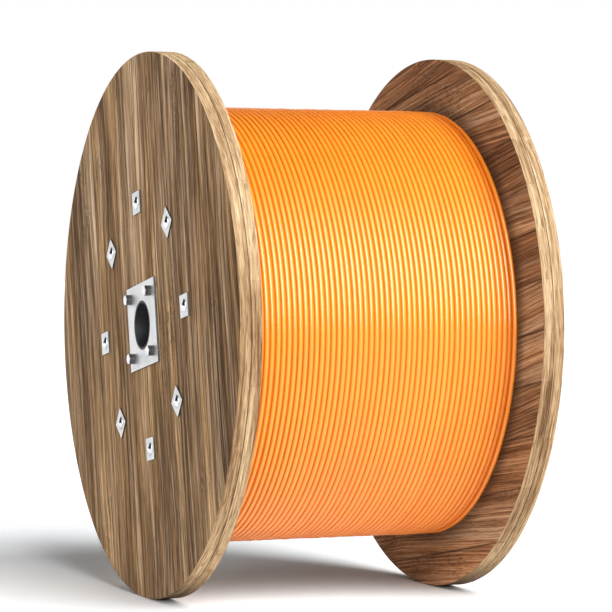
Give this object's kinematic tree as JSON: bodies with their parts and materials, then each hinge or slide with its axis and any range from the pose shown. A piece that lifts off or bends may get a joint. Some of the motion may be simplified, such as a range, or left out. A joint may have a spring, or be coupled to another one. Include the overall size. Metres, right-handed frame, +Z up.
{
  "type": "wooden cable drum",
  "caption": "Wooden drum with two round flanges of crossed boards, tie bolts and steel centre plates, wound full of orange cable and standing on its rims.",
  "frame": {"origin": "on the floor under the middle of the drum, at the centre of the bottom of its box", "axes": "+X along the drum's axis from the near end, with the bolt heads, to the far end with the nuts; +Z up"},
  "size_m": [0.638, 1, 1],
  "materials": {
    "outer_ply_wood": "sawn softwood boards, brown and streaky, light tan on the rim",
    "inner_ply_wood": "sawn boards, reddish brown, light tan on the rim",
    "stave_wood": "planed staves, hidden under the cable",
    "cable": "glossy orange plastic sheath",
    "steel_plate": "bright brushed steel",
    "bolts": "bright zinc plate",
    "bush": "matt black"
  },
  "bodies": {
    "root": {"near_outer_board_01": "outer_ply_wood", "near_outer_board_02": "outer_ply_wood", "near_outer_board_03": "outer_ply_wood", "near_outer_board_04": "outer_ply_wood", "near_outer_board_05": "outer_ply_wood", "near_outer_board_06": "outer_ply_wood", "near_outer_board_07": "outer_ply_wood", "near_outer_board_08": "outer_ply_wood", "near_outer_board_09": "outer_ply_wood", "near_outer_board_10": "outer_ply_wood", "near_outer_board_11": "outer_ply_wood", "near_outer_board_12": "outer_ply_wood", "near_inner_board_01": "inner_ply_wood", "near_inner_board_02": "inner_ply_wood", "near_inner_board_03": "inner_ply_wood", "near_inner_board_04": "inner_ply_wood", "near_inner_board_05": "inner_ply_wood", "near_inner_board_06": "inner_ply_wood", "near_inner_board_07": "inner_ply_wood", "near_inner_board_08": "inner_ply_wood", "near_inner_board_09": "inner_ply_wood", "near_inner_board_10": "inner_ply_wood", "near_inner_board_11": "inner_ply_wood", "near_inner_board_12": "inner_ply_wood", "far_outer_board_01": "outer_ply_wood", "far_outer_board_02": "outer_ply_wood", "far_outer_board_03": "outer_ply_wood", "far_outer_board_04": "outer_ply_wood", "far_outer_board_05": "outer_ply_wood", "far_outer_board_06": "outer_ply_wood", "far_outer_board_07": "outer_ply_wood", "far_outer_board_08": "outer_ply_wood", "far_outer_board_09": "outer_ply_wood", "far_outer_board_10": "outer_ply_wood", "far_outer_board_11": "outer_ply_wood", "far_outer_board_12": "outer_ply_wood", "far_inner_board_01": "inner_ply_wood", "far_inner_board_02": "inner_ply_wood", "far_inner_board_03": "inner_ply_wood", "far_inner_board_04": "inner_ply_wood", "far_inner_board_05": "inner_ply_wood", "far_inner_board_06": "inner_ply_wood", "far_inner_board_07": "inner_ply_wood", "far_inner_board_08": "inner_ply_wood", "far_inner_board_09": "inner_ply_wood", "far_inner_board_10": "inner_ply_wood", "far_inner_board_11": "inner_ply_wood", "far_inner_board_12": "inner_ply_wood", "barrel_staves": "stave_wood", "cable_winding": "cable", "tie_bolts": "bolts", "tie_bolt_washers": "steel_plate", "tie_bolt_nuts": "bolts", "near_centre_plate": "steel_plate", "far_centre_plate": "steel_plate", "near_spindle_bush": "bush", "far_spindle_bush": "bush", "plate_bolts": "bolts", "plate_bolt_nuts": "bolts"}
  },
  "joints": []
}
